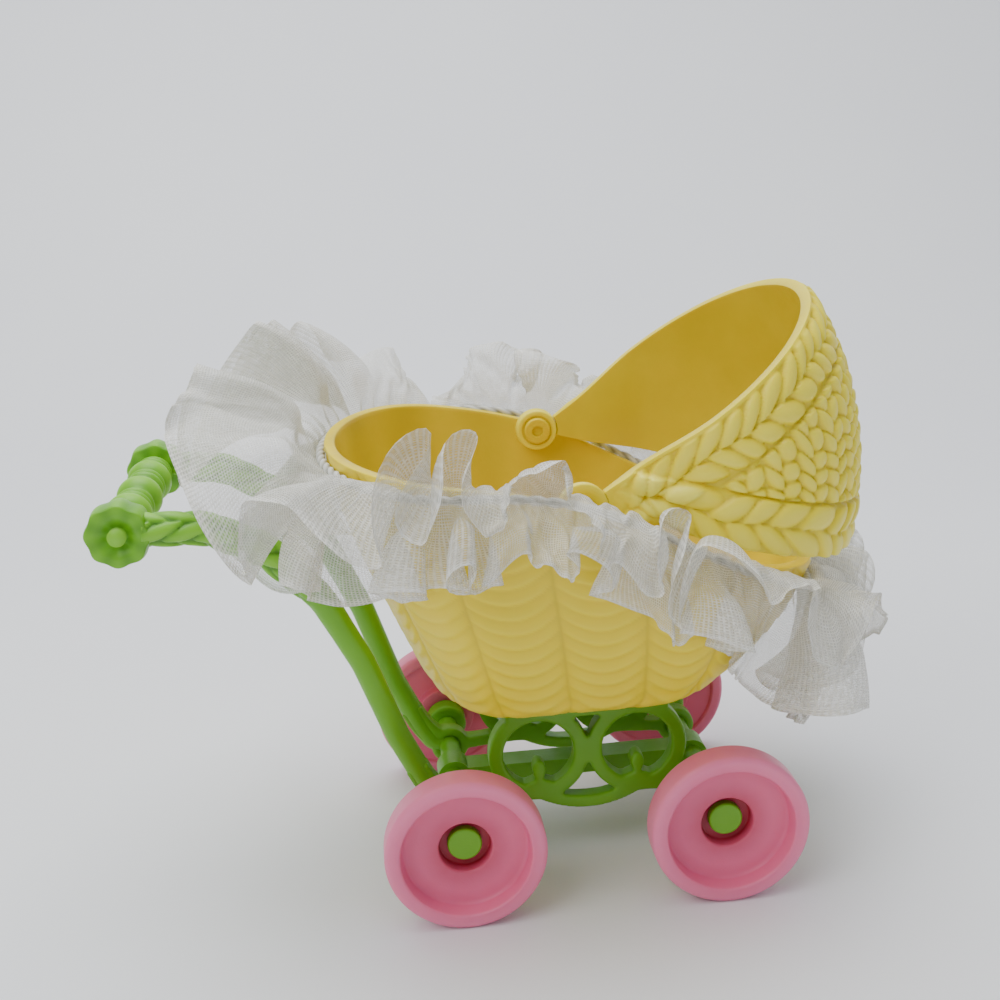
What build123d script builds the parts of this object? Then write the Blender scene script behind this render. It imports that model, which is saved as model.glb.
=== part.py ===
"""Doll stroller: a small moulded toy pram, made as separate pieces.

Millimetres.  +X is forward (the hood end), +Y is the left side, +Z is up.
The origin is on the floor, midway between the two axles.
"""
from build123d import *
from math import cos, radians, sin
import os

# ---------------------------------------------------------------- driving sizes
WHEEL_BASE = 46.1          # rear axle to front axle
TRACK = 62.5               # over the outer faces of the wheels

WHEEL_RADIUS = 14.0
WHEEL_WIDTH = 5.6
DISH_RADIUS = 10.9         # opening of the dished outer face
DISH_DEPTH = 3.2
WEB_THICKNESS = 1.4
HUB_HOLE_RADIUS = 4.6      # pocket in the dish that shows the axle cap
HUB_WALL = 1.3
HUB_FLOOR = 1.4            # wall at the bottom of the pocket, which the axle runs in
TYRE_ROUND = 1.3

AXLE_RADIUS = 2.0
AXLE_COLLAR_RADIUS = 4.0
AXLE_COLLAR_LENGTH = 4.3
CAP_RADIUS = 3.0
CAP_THICKNESS = 1.5
CAP_BORE_DEPTH = 1.0
CAP_RECESS = 1.0           # cap face below the dish floor

FRAME_SPACING = 24.0       # between the middles of the two side frames
FRAME_DEPTH = 3.4
RING_RADIUS = 9.2          # outside of a scroll ring
RING_THICKNESS = 2.7
RING_MIDDLE_X = 1.1        # where the two rings of a side frame touch
RAIL_THICKNESS = 2.3
RAIL_SAG = 2.6             # how far the rail dips between the ring bottoms
EYE_RADIUS = 3.7           # bosses round the axles
SADDLE_THICKNESS = 2.4
SADDLE_OVERHANG = 6.0      # saddle beyond the ring centres
TIE_WIDTH = 6.0
STRETCHER_WIDTH = 5.0
STRETCHER_HEIGHT = 3.2

ARM_TOP_RADIUS = 2.6
ARM_LOW_RADIUS = 2.1
ARM_SPREAD = 20.7          # arm centre from the middle plane, at the handle
ARM_TENON_RADIUS = 1.2
ARM_TENON_LENGTH = 3.0
HANDLE_X = -75.3
HANDLE_Z = 72.7
HANDLE_WIDTH = 46.4        # over the flower ends
FLOWER_THICKNESS = 5.2
FLOWER_RADIUS = 5.2
FLOWER_PETALS = 8
HANDLE_PIN_RADIUS = 1.5
HANDLE_PIN_PROUD = 0.3
BEAD_RADIUS = 4.0
NECK_RADIUS = 2.7

BASKET_BASE_Z = 32.0
BASKET_WALL = 1.8
BASKET_FLOOR = 1.8
BASKET_HALF_WIDTH = 32.8   # at the top of the moulding, before the rim is cut
BASKET_REAR_X = -42.7
BASKET_FRONT_X = 50.0
BASKET_TOP_Z = 83.0
BASKET_BASE_REAR_X = -18.5
BASKET_BASE_FRONT_X = 15.0
BASKET_BASE_HALF_WIDTH = 15.5

PIVOT_X = -1.0
PIVOT_Z = 73.5
PIVOT_RADIUS = 1.5
PIVOT_HEAD_RADIUS = 2.6
PIVOT_HEAD_THICKNESS = 1.0
PIVOT_BOSS_RADIUS = 2.8
PIVOT_COVER = 1.5          # basket wall left over the outer end of a stud
EAR_RADIUS = 4.0
EAR_HALF_WIDTH = BASKET_HALF_WIDTH - 3.8  # outer face of a hood ear from the middle plane

HOOD_WALL = 1.8
HOOD_HALF_WIDTH = BASKET_HALF_WIDTH + 0.7
HOOD_RADIUS = 53.4         # from the pivots to the back of the hood
HOOD_SIDE_FLAT = 9.0       # radius of the flat part of the hood's sides
HOOD_SHOULDER = 25.0       # radius at which the hood is widest
HOOD_OPENING_ANGLE = 34.8  # of the front opening, above the horizontal
HOOD_EDGE_ANGLE = 16.3     # of the lower edge, below the horizontal

RIVET_RADIUS = 1.4
RIVET_HEAD_RADIUS = 2.4
RIVET_HEAD_THICKNESS = 0.8

ELASTIC_THICKNESS = 1.6
ELASTIC_FRONT_X = 46.5
RUFFLE_THICKNESS = 2.0

RUNNING_CLEARANCE = 0.05   # radial, for what turns on a pin
SIDE_PLAY = 0.1            # beside a turning piece
SOFT_CLEARANCE = 0.4       # round what is soft
HEAD_CLEARANCE = 0.1

# ---------------------------------------------------------------- worked-out places
AXLE_Z = WHEEL_RADIUS
AXLES = {"rear": -WHEEL_BASE / 2, "front": WHEEL_BASE / 2}
SIDES = {"left": 1, "right": -1}

WHEEL_OUTER_Y = TRACK / 2
WHEEL_INNER_Y = WHEEL_OUTER_Y - WHEEL_WIDTH
DISH_FLOOR_Y = WHEEL_OUTER_Y - DISH_DEPTH
CAP_FACE_Y = DISH_FLOOR_Y - CAP_RECESS
POCKET_FLOOR_Y = CAP_FACE_Y - CAP_THICKNESS - SIDE_PLAY
HUB_INNER_Y = POCKET_FLOOR_Y - HUB_FLOOR
COLLAR_OUTER_Y = HUB_INNER_Y - SIDE_PLAY
AXLE_END_Y = CAP_FACE_Y - CAP_THICKNESS + CAP_BORE_DEPTH

FRAME_Y = FRAME_SPACING / 2
RING_TOP_Z = BASKET_BASE_Z
RING_CENTRE_Z = RING_TOP_Z - RING_RADIUS
RING_CENTRES_X = (RING_MIDDLE_X - RING_RADIUS + 0.1, RING_MIDDLE_X + RING_RADIUS - 0.1)
RING_BOTTOM_Z = RING_CENTRE_Z - RING_RADIUS + RING_THICKNESS / 2

FLOOR_TOP_Z = BASKET_BASE_Z + BASKET_FLOOR
EAR_INNER_Y = EAR_HALF_WIDTH - HOOD_WALL


# ---------------------------------------------------------------- helpers
def side_plate(outline, depth, middle_y=0.0):
    """Thicken a side-view outline (drawn X forward, Y up) about middle_y."""
    return Pos(0, middle_y + depth / 2, 0) * Rot(90, 0, 0) * extrude(outline, depth)


def turned(points, rounds=None):
    """Turn a closed (radius, y) outline about the Y axis."""
    face = make_face(Polyline(*points, close=True))
    for corner, radius in (rounds or {}).items():
        vertex = face.vertices().sort_by_distance(Vector(*points[corner]))[0]
        face = fillet(vertex, radius)
    return revolve(face, Axis.Y)


def mirrored(shape, side):
    """The same piece on the left side (1) or the right side (-1)."""
    return shape if side > 0 else mirror(shape, about=Plane.XZ)


def bar(start, end, width):
    """A side-view bar from start to end."""
    return trace(Line(start, end), width)


def lerp(low, high, share):
    return low + (high - low) * share


# ---------------------------------------------------------------- running gear
def make_wheel():
    """A dished wheel with a pocket round the axle cap; its axis is Y at x=0, z=0."""
    lip = 0.7
    hub_radius = HUB_HOLE_RADIUS + HUB_WALL
    bore = AXLE_RADIUS + RUNNING_CLEARANCE
    web_inner_y = DISH_FLOOR_Y - WEB_THICKNESS
    points = [
        (bore, HUB_INNER_Y),
        (bore, POCKET_FLOOR_Y),
        (HUB_HOLE_RADIUS, POCKET_FLOOR_Y),
        (HUB_HOLE_RADIUS, DISH_FLOOR_Y),
        (DISH_RADIUS, DISH_FLOOR_Y),
        (DISH_RADIUS + lip / 2, WHEEL_OUTER_Y),
        (WHEEL_RADIUS, WHEEL_OUTER_Y),
        (WHEEL_RADIUS, WHEEL_INNER_Y),
        (DISH_RADIUS + lip, WHEEL_INNER_Y),
        (DISH_RADIUS + lip, web_inner_y),
        (hub_radius, web_inner_y),
        (hub_radius, HUB_INNER_Y),
    ]
    rounds = {5: TYRE_ROUND, 6: TYRE_ROUND, 7: TYRE_ROUND, 8: TYRE_ROUND / 2, 4: 0.5}
    return turned(points, rounds)


def make_axle():
    """A round axle with a collar inboard of each wheel."""
    collar_inner_y = COLLAR_OUTER_Y - AXLE_COLLAR_LENGTH
    half = [
        (AXLE_RADIUS, AXLE_END_Y),
        (AXLE_RADIUS, COLLAR_OUTER_Y),
        (AXLE_COLLAR_RADIUS, COLLAR_OUTER_Y),
        (AXLE_COLLAR_RADIUS, collar_inner_y),
        (AXLE_RADIUS, collar_inner_y),
    ]
    other_half = [(radius, -y) for radius, y in reversed(half)]
    points = [(0, AXLE_END_Y)] + half + other_half + [(0, -AXLE_END_Y)]
    return turned(points, {3: 0.8, 4: 0.8, 7: 0.8, 8: 0.8})


def make_axle_cap():
    """A push-on cap, with a blind hole for the end of the axle."""
    inner_y = CAP_FACE_Y - CAP_THICKNESS
    points = [
        (0, AXLE_END_Y),
        (AXLE_RADIUS, AXLE_END_Y),
        (AXLE_RADIUS, inner_y),
        (CAP_RADIUS, inner_y),
        (CAP_RADIUS, CAP_FACE_Y),
        (0, CAP_FACE_Y),
    ]
    return turned(points, {4: 0.45})


# ---------------------------------------------------------------- green frame
ARM_FOOT = (AXLES["rear"] - 7.2, AXLE_Z + 8.2)          # where an arm meets its side frame
ARM_FOOT_SLOPE = 65.0                                   # degrees up from the floor, leaning back


def make_side_frame():
    """One side of the chassis: two scroll rings on a curved rail, with an eye on each axle."""
    outline = Sketch()
    for centre_x in RING_CENTRES_X:
        outline += Pos(centre_x, RING_CENTRE_Z) * Circle(RING_RADIUS)
    low_left = (RING_CENTRES_X[0], RING_BOTTOM_Z)
    low_right = (RING_CENTRES_X[1], RING_BOTTOM_Z)
    dip = (RING_MIDDLE_X, RING_BOTTOM_Z - RAIL_SAG)
    outline += trace(ThreePointArc(low_left, dip, low_right), RAIL_THICKNESS)
    outline += bar((AXLES["rear"], AXLE_Z), low_left, RAIL_THICKNESS)
    outline += bar((AXLES["front"], AXLE_Z), low_right, RAIL_THICKNESS)
    outline += socket_outline()
    saddle_length = RING_CENTRES_X[1] - RING_CENTRES_X[0] + 2 * SADDLE_OVERHANG
    saddle_z = RING_TOP_Z - SADDLE_THICKNESS / 2
    outline += Pos(RING_MIDDLE_X, saddle_z) * RectangleRounded(saddle_length, SADDLE_THICKNESS, 0.8)
    for axle_x in AXLES.values():
        outline += Pos(axle_x, AXLE_Z) * Circle(EYE_RADIUS)
    for centre_x in RING_CENTRES_X:
        outline -= Pos(centre_x, RING_CENTRE_Z) * Circle(RING_RADIUS - RING_THICKNESS)
    for centre_x in RING_CENTRES_X:
        outline += bud_outline(centre_x)
    for axle_x in AXLES.values():
        outline -= Pos(axle_x, AXLE_Z) * Circle(AXLE_RADIUS)
    frame = side_plate(outline, FRAME_DEPTH, FRAME_Y)
    return frame - arm_tenon()


def socket_outline():
    """The curved stub that rises from the rear eye to the foot of the handle arm."""
    lean = (-cos(radians(ARM_FOOT_SLOPE)), sin(radians(ARM_FOOT_SLOPE)))
    stub = 1.5
    knee = (ARM_FOOT[0] - lean[0] * stub, ARM_FOOT[1] - lean[1] * stub)
    start = (AXLES["rear"], AXLE_Z)
    bend = TangentArc(knee, start, tangent=(-lean[0], -lean[1]))
    width = 2 * ARM_LOW_RADIUS
    return trace(Line(ARM_FOOT, knee), width) + trace(bend, width)


def bud_outline(centre_x):
    """A small upright bud that grows from the bottom of a ring."""
    bottom = RING_CENTRE_Z - RING_RADIUS + RING_THICKNESS / 2
    stem = Pos(centre_x, bottom + 2.2) * Rectangle(1.3, 4.4)
    bud = Pos(centre_x, bottom + 4.6) * Ellipse(1.25, 1.9)
    leaf = Pos(centre_x, bottom + 1.5) * Ellipse(2.6, 1.1)
    return stem + bud + leaf


def arm_tenon():
    """The pin at the foot of an arm, and the hole for it in the side frame."""
    slope = radians(ARM_FOOT_SLOPE)
    down = Vector(cos(slope), 0, -sin(slope))
    foot = Plane(origin=(ARM_FOOT[0], FRAME_Y, ARM_FOOT[1]), z_dir=down)
    return foot * extrude(Circle(ARM_TENON_RADIUS), ARM_TENON_LENGTH)


def make_tie(centre_x):
    """A flat cross bar between the two saddles, which a rivet goes through."""
    length = FRAME_SPACING - FRAME_DEPTH
    middle_z = RING_TOP_Z - SADDLE_THICKNESS / 2
    tie = Pos(centre_x, 0, middle_z) * Box(TIE_WIDTH, length, SADDLE_THICKNESS)
    hole = Pos(centre_x, 0, middle_z) * Cylinder(RIVET_RADIUS, 2 * SADDLE_THICKNESS)
    return tie - hole


def make_stretcher():
    """The bar along the middle of the chassis, with an eye on each axle."""
    outline = Pos(0, AXLE_Z) * Rectangle(WHEEL_BASE, STRETCHER_HEIGHT)
    for axle_x in AXLES.values():
        outline += Pos(axle_x, AXLE_Z) * Circle(EYE_RADIUS - 0.6)
    for axle_x in AXLES.values():
        outline -= Pos(axle_x, AXLE_Z) * Circle(AXLE_RADIUS)
    return side_plate(outline, STRETCHER_WIDTH)


def make_rivet(centre_x):
    """Holds the basket's floor down on a tie; its upper head is flush with the floor."""
    low_z = RING_TOP_Z - SADDLE_THICKNESS
    length = FLOOR_TOP_Z - low_z
    stem = Pos(centre_x, 0, low_z) * extrude(Circle(RIVET_RADIUS), length)
    top = Pos(centre_x, 0, FLOOR_TOP_Z - RIVET_HEAD_THICKNESS)
    foot = Pos(centre_x, 0, low_z - RIVET_HEAD_THICKNESS)
    head = extrude(Circle(RIVET_HEAD_RADIUS), RIVET_HEAD_THICKNESS)
    return stem + top * head + foot * head


# ---------------------------------------------------------------- handle
def flower_outline():
    """The scalloped end of an arm, in the side view."""
    petal = FLOWER_RADIUS * 0.34
    outline = Circle(FLOWER_RADIUS - petal)
    for location in PolarLocations(FLOWER_RADIUS - petal, FLOWER_PETALS):
        outline += location * Circle(petal)
    return Pos(HANDLE_X, HANDLE_Z) * outline - Pos(HANDLE_X, HANDLE_Z) * Circle(HANDLE_PIN_RADIUS)


def arm_route():
    """Centre points of an arm, from the handle down to its foot on the side frame."""
    foot_x, foot_z = ARM_FOOT
    slope = radians(ARM_FOOT_SLOPE)
    straight = 7.0
    low_x = foot_x - straight * cos(slope)
    low_z = foot_z + straight * sin(slope)
    # side view: each bend as a share of the way from the handle to the straight foot
    bends = [(0.00, 1.00), (0.26, 0.98), (0.50, 0.86), (0.71, 0.64), (0.87, 0.34), (1.0, 0.0)]
    points = []
    for across, up in bends:
        x = lerp(HANDLE_X + 3.5, low_x, across)
        z = lerp(low_z, HANDLE_Z + 0.3, up)
        y = lerp(FRAME_Y, ARM_SPREAD, 1 - across ** 1.3)
        points.append((x, y, z))
    points.append((foot_x, FRAME_Y, foot_z))
    return points


def make_arm():
    """A handle arm: a thick upper end that thins to a rod, with the flower at its top."""
    points = arm_route()
    path = FilletPolyline(*points, radius=(9.0, 12.0, 14.0, 16.0, 10.0))
    steps = (0.0, 0.3, 0.5, 1.0)
    sizes = (ARM_TOP_RADIUS, ARM_TOP_RADIUS, ARM_LOW_RADIUS * 1.05, ARM_LOW_RADIUS)
    sections = [Plane(path ^ step) * Circle(size) for step, size in zip(steps, sizes)]
    arm = sweep(sections, path=path, multisection=True)
    middle_y = HANDLE_WIDTH / 2 - FLOWER_THICKNESS / 2
    flower = side_plate(flower_outline(), FLOWER_THICKNESS, middle_y)
    hole = Pos(HANDLE_X, middle_y, HANDLE_Z) * Rot(90, 0, 0) * Cylinder(HANDLE_PIN_RADIUS, HANDLE_WIDTH)
    return (arm - hole) + flower + arm_tenon()


def make_handle_bar():
    """The turned bar between the flowers: beads, necks and an end pin in each flower."""
    shoulder_y = HANDLE_WIDTH / 2 - FLOWER_THICKNESS
    end_y = HANDLE_WIDTH / 2 + HANDLE_PIN_PROUD
    core = Cylinder(HANDLE_PIN_RADIUS, 2 * end_y)
    core += Cylinder(NECK_RADIUS, 2 * shoulder_y)
    bead_places = (0.0, 0.62 * shoulder_y, -0.62 * shoulder_y)
    for place in bead_places:
        core += Pos(0, 0, place) * scale(Sphere(BEAD_RADIUS), by=(1, 1, 0.8))
    for place in (0.3, -0.3, 0.92, -0.92):
        core += Pos(0, 0, place * shoulder_y) * Torus(NECK_RADIUS, 0.7)
    slab = Box(4 * BEAD_RADIUS, 4 * BEAD_RADIUS, 2 * shoulder_y)
    pins = Cylinder(HANDLE_PIN_RADIUS, 2 * end_y)
    return Pos(HANDLE_X, 0, HANDLE_Z) * Rot(90, 0, 0) * ((core & slab) + pins)


# ---------------------------------------------------------------- basket
# height above the base as a share of the whole, then how far each end and side has
# come from its place in the base towards its place at the top
BASKET_LEVELS = (
    (0.00, 0.00, 0.00, 0.00),
    (0.03, 0.20, 0.19, 0.24),
    (0.11, 0.36, 0.43, 0.44),
    (0.24, 0.49, 0.66, 0.63),
    (0.40, 0.63, 0.81, 0.78),
    (0.58, 0.79, 0.92, 0.88),
    (0.78, 0.92, 0.97, 0.96),
    (1.00, 1.00, 1.00, 1.00),
)

def oval(rear, front, width, z):
    """A level oval: two half ellipses joined by short straight sides."""
    rear_centre = min(-8.0, rear / 2)
    front_centre = min(14.0, front / 2)
    back = EllipticalCenterArc((rear_centre, 0), rear_centre - rear, width, 90, arc_size=180)
    front_arc = EllipticalCenterArc((front_centre, 0), front - front_centre, width, -90, arc_size=180)
    left = Line((rear_centre, width), (front_centre, width))
    right = Line((rear_centre, -width), (front_centre, -width))
    return Pos(0, 0, z) * make_face(Curve() + [back, right, front_arc, left])


def basket_solid(inset, base_z):
    """The basket's body, filled in, with every wall moved inwards by inset."""
    sections = []
    for height, back, ahead, out in BASKET_LEVELS:
        rear = lerp(BASKET_BASE_REAR_X, BASKET_REAR_X, back)
        front = lerp(BASKET_BASE_FRONT_X, BASKET_FRONT_X, ahead)
        width = lerp(BASKET_BASE_HALF_WIDTH, BASKET_HALF_WIDTH, out)
        z = lerp(base_z, BASKET_TOP_Z, height)
        sections.append(oval(rear + inset, front - inset, width - inset, z))
    return loft(sections)


def rim_line():
    """Side view of the basket's rim: level at the back, falling towards the head end."""
    return Spline((-60.0, 80.8), (-30.0, 80.2), (PIVOT_X, PIVOT_Z + 0.8), (23.0, 62.8), (70.0, 49.0))


def above_rim():
    """Side-view outline of all that the basket's rim cuts away."""
    rim = rim_line()
    high_z = 130.0
    lid = Polyline(rim @ 1, (70.0, high_z), (-60.0, high_z), rim @ 0)
    return make_face(Curve() + [rim, lid])


def make_basket():
    """The moulded basket, with a boss at each hood pivot and a hole for each rivet."""
    outer = basket_solid(0.0, BASKET_BASE_Z)
    inner = basket_solid(BASKET_WALL, FLOOR_TOP_Z)
    basket = outer - inner
    reach = BASKET_HALF_WIDTH - EAR_HALF_WIDTH - SIDE_PLAY
    for side in SIDES.values():
        boss = Pos(PIVOT_X, EAR_HALF_WIDTH + SIDE_PLAY + reach / 2, PIVOT_Z) * Rot(90, 0, 0)
        boss = mirrored(boss * Cylinder(PIVOT_BOSS_RADIUS, reach), side)
        basket += boss & outer
    basket -= side_plate(above_rim(), 200.0)
    pivots = Pos(PIVOT_X, 0, PIVOT_Z) * Rot(90, 0, 0) * Cylinder(PIVOT_RADIUS, 4 * BASKET_HALF_WIDTH)
    basket -= pivots
    for centre_x in RING_CENTRES_X:
        basket -= Pos(centre_x, 0, BASKET_BASE_Z) * Cylinder(RIVET_RADIUS, 4 * BASKET_FLOOR)
        pocket = extrude(Circle(RIVET_HEAD_RADIUS + HEAD_CLEARANCE), 2 * RIVET_HEAD_THICKNESS)
        basket -= Pos(centre_x, 0, FLOOR_TOP_Z - RIVET_HEAD_THICKNESS) * pocket
    return basket


# ---------------------------------------------------------------- hood
def hood_body(inset):
    """The hood before it is trimmed: a fat wheel shape turned about the pivots."""
    side = EAR_HALF_WIDTH - inset
    wide = HOOD_HALF_WIDTH - inset
    radius = HOOD_RADIUS - inset
    shoulder = HOOD_SHOULDER
    flat = Line((0, side), (HOOD_SIDE_FLAT, side))
    swell = Spline((HOOD_SIDE_FLAT, side), (shoulder, wide), tangents=((1, 0), (1, 0)))
    crown = EllipticalCenterArc((shoulder, 0), radius - shoulder, wide, -90, arc_size=180)
    swell_back = mirror(swell, about=Plane.XZ)
    flat_back = mirror(flat, about=Plane.XZ)
    spine = Line((0, -side), (0, side))
    profile = make_face(Curve() + [flat, swell, crown, swell_back, flat_back, spine])
    return Pos(PIVOT_X, 0, PIVOT_Z) * revolve(profile, Axis.Y)


def hood_outline():
    """Side-view outline of what is kept of the hood: a wedge with its tip at the pivots."""
    reach = 2 * HOOD_RADIUS
    corners = [(0.0, 0.0)]
    for angle in (-HOOD_EDGE_ANGLE, HOOD_OPENING_ANGLE):
        corners.append((reach * cos(radians(angle)), reach * sin(radians(angle))))
    return Pos(PIVOT_X, PIVOT_Z) * make_face(Polyline(*corners, close=True))


def make_hood():
    """The hood: a domed shell with an ear over each pivot stud."""
    shell = hood_body(0.0) - hood_body(HOOD_WALL)
    hood = shell & side_plate(hood_outline(), 200.0)
    for side in SIDES.values():
        ear = Pos(PIVOT_X, EAR_HALF_WIDTH - HOOD_WALL / 2, PIVOT_Z) * Rot(90, 0, 0)
        hood += mirrored(ear * Cylinder(EAR_RADIUS, HOOD_WALL), side)
    bore = Cylinder(PIVOT_RADIUS + RUNNING_CLEARANCE, 4 * HOOD_HALF_WIDTH)
    return hood - Pos(PIVOT_X, 0, PIVOT_Z) * Rot(90, 0, 0) * bore


def make_hood_pivot():
    """The stud that an ear turns on: pressed in the basket's wall, headed inside the ear."""
    head_face_y = EAR_INNER_Y - SIDE_PLAY
    wall_y = BASKET_HALF_WIDTH - PIVOT_COVER
    points = [
        (0, wall_y),
        (PIVOT_RADIUS, wall_y),
        (PIVOT_RADIUS, head_face_y),
        (PIVOT_HEAD_RADIUS, head_face_y),
        (PIVOT_HEAD_RADIUS, head_face_y - PIVOT_HEAD_THICKNESS),
        (1.1, head_face_y - PIVOT_HEAD_THICKNESS),
        (1.1, head_face_y - 0.4),
        (0, head_face_y - 0.4),
    ]
    return Pos(PIVOT_X, 0, PIVOT_Z) * turned(points, {4: 0.4})


# ---------------------------------------------------------------- elastic and ruffle
def elastic_line():
    """Side view of the elastic, which stays a little below the rim."""
    return Spline((-60, 79.0), (-30, 78.2), (0, 74.5), (17, 66.0), (30, 58.5), (60, 43.0))


def soft_ring(inner_gap, thickness):
    """An upright ring that stands off the widest line of the basket."""
    rear = BASKET_REAR_X - SOFT_CLEARANCE - inner_gap
    front = ELASTIC_FRONT_X + inner_gap
    width = BASKET_HALF_WIDTH + SOFT_CLEARANCE + inner_gap
    height = 130.0
    ring = extrude(oval(rear - thickness, front + thickness, width + thickness, 0), height)
    return ring - extrude(oval(rear, front, width, 0), height)


def make_elastic():
    """The elastic that holds the ruffle, right round the outside of the basket."""
    band = side_plate(trace(elastic_line(), ELASTIC_THICKNESS), 200.0)
    return soft_ring(0.0, ELASTIC_THICKNESS) & band


def ruffle_outline():
    """Side view of the ruffle: above and below the elastic, over the arms, under the hood."""
    top = Spline((-60, 93.0), (-30, 90.5), (0, 85.0), (20, 68.0), (36, 57.0), (60, 48.5))
    bottom = Spline((60, 27.0), (30, 43.0), (0, 59.0), (-30, 63.0), (-42, 69.0), (-60, 72.0))
    ends = [Line(top @ 1, bottom @ 0), Line(bottom @ 1, top @ 0)]
    return make_face(Curve() + [top, ends[0], bottom, ends[1]])


def make_ruffle():
    """The gathered strip as one plain band of even thickness round the elastic."""
    ring = soft_ring(ELASTIC_THICKNESS + SOFT_CLEARANCE, RUFFLE_THICKNESS)
    return ring & side_plate(ruffle_outline(), 200.0)


# ---------------------------------------------------------------- assembly
def all_pieces():
    pieces = {}
    wheel = make_wheel()
    axle = make_axle()
    cap = make_axle_cap()
    for end, axle_x in AXLES.items():
        place = Pos(axle_x, 0, AXLE_Z)
        pieces[f"{end}_axle"] = place * axle
        for side, sign in SIDES.items():
            pieces[f"{end}_{side}_wheel"] = place * mirrored(wheel, sign)
            pieces[f"{end}_{side}_axle_cap"] = place * mirrored(cap, sign)
    frame = make_side_frame()
    arm = make_arm()
    pivot = make_hood_pivot()
    for side, sign in SIDES.items():
        pieces[f"side_frame_{side}"] = mirrored(frame, sign)
        pieces[f"handle_arm_{side}"] = mirrored(arm, sign)
        pieces[f"hood_pivot_{side}"] = mirrored(pivot, sign)
    for end, centre_x in zip(("rear", "front"), RING_CENTRES_X):
        pieces[f"{end}_basket_tie"] = make_tie(centre_x)
        pieces[f"{end}_basket_rivet"] = make_rivet(centre_x)
    pieces["centre_stretcher"] = make_stretcher()
    pieces["handle_bar"] = make_handle_bar()
    pieces["basket"] = make_basket()
    pieces["hood"] = make_hood()
    pieces["ruffle_elastic"] = make_elastic()
    pieces["ruffle"] = make_ruffle()
    return pieces


def main():
    os.makedirs("parts", exist_ok=True)
    for name, shape in all_pieces().items():
        shape.label = name
        export_step(shape, f"parts/{name}.step")
        size = shape.bounding_box().size
        print(f"{name:24s} {shape.volume:9.1f} mm3  {size.X:6.1f} {size.Y:6.1f} {size.Z:6.1f}")


main()
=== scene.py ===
# %% [markdown]
# # A doll's stroller
# A small moulded toy pram: four pink wheels, a green chassis with scroll rings, a yellow
# wicker-look basket and hood, and a gathered strip of sparkling net held on by elastic.
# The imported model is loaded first, because every piece takes its place from it.

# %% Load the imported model
from math import cos, pi, radians, sin

import bmesh
import bpy
import numpy as np
from mathutils import Matrix, Vector


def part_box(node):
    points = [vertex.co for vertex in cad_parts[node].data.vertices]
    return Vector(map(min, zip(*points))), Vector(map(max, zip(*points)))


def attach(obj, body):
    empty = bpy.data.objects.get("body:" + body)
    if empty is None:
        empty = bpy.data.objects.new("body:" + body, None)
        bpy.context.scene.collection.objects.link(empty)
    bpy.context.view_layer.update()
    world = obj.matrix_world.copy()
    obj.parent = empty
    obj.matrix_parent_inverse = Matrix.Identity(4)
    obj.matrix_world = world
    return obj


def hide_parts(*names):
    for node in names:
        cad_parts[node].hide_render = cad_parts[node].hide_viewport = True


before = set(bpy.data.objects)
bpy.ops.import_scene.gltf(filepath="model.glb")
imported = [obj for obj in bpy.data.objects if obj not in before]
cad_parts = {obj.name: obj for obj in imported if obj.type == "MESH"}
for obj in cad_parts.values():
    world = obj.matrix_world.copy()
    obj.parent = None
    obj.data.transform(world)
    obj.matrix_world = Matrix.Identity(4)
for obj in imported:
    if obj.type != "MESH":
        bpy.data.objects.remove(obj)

MM = 0.001
scene = bpy.context.scene
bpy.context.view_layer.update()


# %% [markdown]
# ## Camera, floor and light
# The toy stands on a pale sweep: a floor that curves up into a wall, so that no edge shows.
# The sweep is one line extruded sideways, which is the quickest way to a seamless ground.
# The light is soft: a bright pale room and a wide lamp overhead do most of the work, and a
# small, weaker lamp from the front left gives the mouldings their shading.

# %% Camera
right = Vector((0.99335, -0.10576, -0.04545))
up = Vector((0.07318, 0.27546, 0.95852))
back = -Vector((0.08886, 0.95548, -0.28137))
camera_data = bpy.data.cameras.new("view")
camera_data.lens = 46.58
camera_data.sensor_width = 36.0
camera_data.clip_start = 0.01
camera = bpy.data.objects.new("view", camera_data)
turn = Matrix((right, up, back)).transposed().to_4x4()
camera.matrix_world = Matrix.Translation(Vector((-32.53, -224.70, 133.65)) * MM) @ turn
scene.collection.objects.link(camera)
scene.camera = camera
print("camera", round(camera.location.length, 3), "m from the toy")


# %% Helpers for nodes and objects
def rgb(red, green, blue):
    """A colour as it looks on a screen, 0 to 255, made linear."""
    linear = []
    for part in (red, green, blue):
        part = part / 255
        linear.append(part / 12.92 if part < 0.04045 else ((part + 0.055) / 1.055) ** 2.4)
    return (*linear, 1.0)


def node(tree, kind, inputs=None, **settings):
    """Adds a shader node; inputs are values, or the sockets that feed them."""
    made = tree.nodes.new("ShaderNode" + kind)
    for name, value in settings.items():
        setattr(made, name, value)
    for name, value in (inputs or {}).items():
        if isinstance(value, bpy.types.NodeSocket):
            tree.links.new(value, made.inputs[name])
        else:
            made.inputs[name].default_value = value
    return made


def ramp(tree, factor, stops):
    """A colour ramp: stops are (position, colour)."""
    made = node(tree, "ValToRGB", {"Fac": factor})
    elements = made.color_ramp.elements
    while len(elements) < len(stops):
        elements.new(0.5)
    for element, (position, shade) in zip(elements, stops):
        element.position = position
        element.color = shade
    return made.outputs["Color"]


def sums(tree, operation, first, second, clamp=False):
    """One Math node on two values or sockets."""
    made = node(tree, "Math", operation=operation, use_clamp=clamp)
    for socket, value in zip(made.inputs, (first, second)):
        if isinstance(value, bpy.types.NodeSocket):
            tree.links.new(value, socket)
        else:
            socket.default_value = value
    return made.outputs[0]


def new_material(name):
    material = bpy.data.materials.new(name)
    material.use_nodes = True
    tree = material.node_tree
    return material, tree, tree.nodes["Principled BSDF"]


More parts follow.
